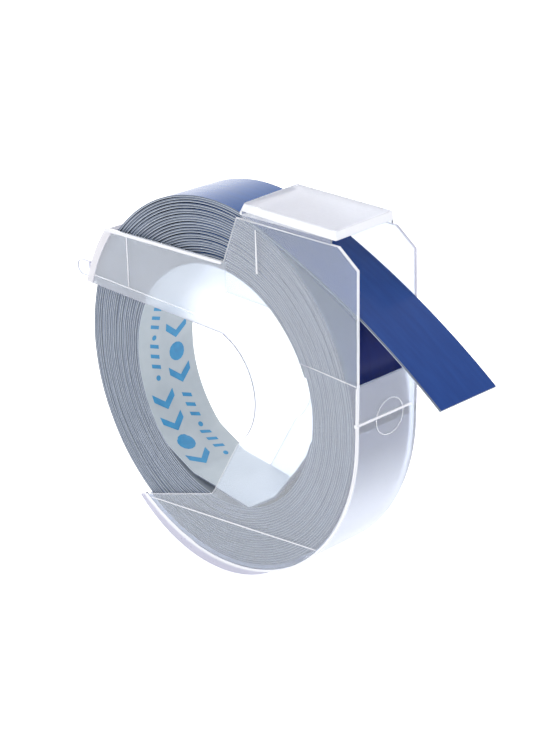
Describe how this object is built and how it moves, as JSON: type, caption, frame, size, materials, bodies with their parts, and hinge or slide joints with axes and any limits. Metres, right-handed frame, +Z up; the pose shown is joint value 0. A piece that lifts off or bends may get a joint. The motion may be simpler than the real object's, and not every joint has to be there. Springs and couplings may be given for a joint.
{
  "type": "embossing tape refill",
  "caption": "Coreless coil of glossy vinyl embossing tape in an open translucent cassette, with its free end hanging out under a guide slab.",
  "frame": {"origin": "under the middle of the whole assembly, at the height of the cassette's lowest edge", "axes": "the coil lies in the XZ plane and turns about Y; +X is the side where the tape comes out, +Z is up, -Y is the side plate with the small tab"},
  "size_m": [0.0588, 0.01, 0.0477],
  "materials": {
    "cassette_plastic": "frosted translucent moulding, satin",
    "wound_edge": "stacked cut edges of blue tape and white liner",
    "blue_vinyl": "smooth glossy vinyl",
    "white_liner": "smooth release paper"
  },
  "bodies": {
    "cassette": {"front_side_plate": "cassette_plastic", "rear_side_plate": "cassette_plastic", "outer_wall": "cassette_plastic", "front_arm": "cassette_plastic", "rear_arm": "cassette_plastic", "arm_end_wall": "cassette_plastic", "arm_tab": "cassette_plastic", "guide_slab": "cassette_plastic"},
    "coil": {"wound_turns": "wound_edge", "outer_turn": "blue_vinyl", "inner_turn_vinyl": "blue_vinyl", "inner_turn_liner": "white_liner"},
    "tail": {"tail_vinyl": "blue_vinyl", "tail_liner": "white_liner"}
  },
  "joints": [
    {"name": "coil_spin", "type": "hinge", "parent": "cassette", "child": "coil", "pos_m": [-0.00504, 0, 0.02413], "axis": [0, 1, 0], "range_deg": [0, 30]},
    {"name": "tape_feed", "type": "hinge", "parent": "cassette", "child": "tail", "pos_m": [-0.02973, 0, -0.05186], "axis": [0, 1, 0], "range_deg": [0, 6.6]}
  ],
  "couplings": [
    {"joint": "tape_feed", "follows": "coil_spin", "ratio": 0.2197}
  ]
}
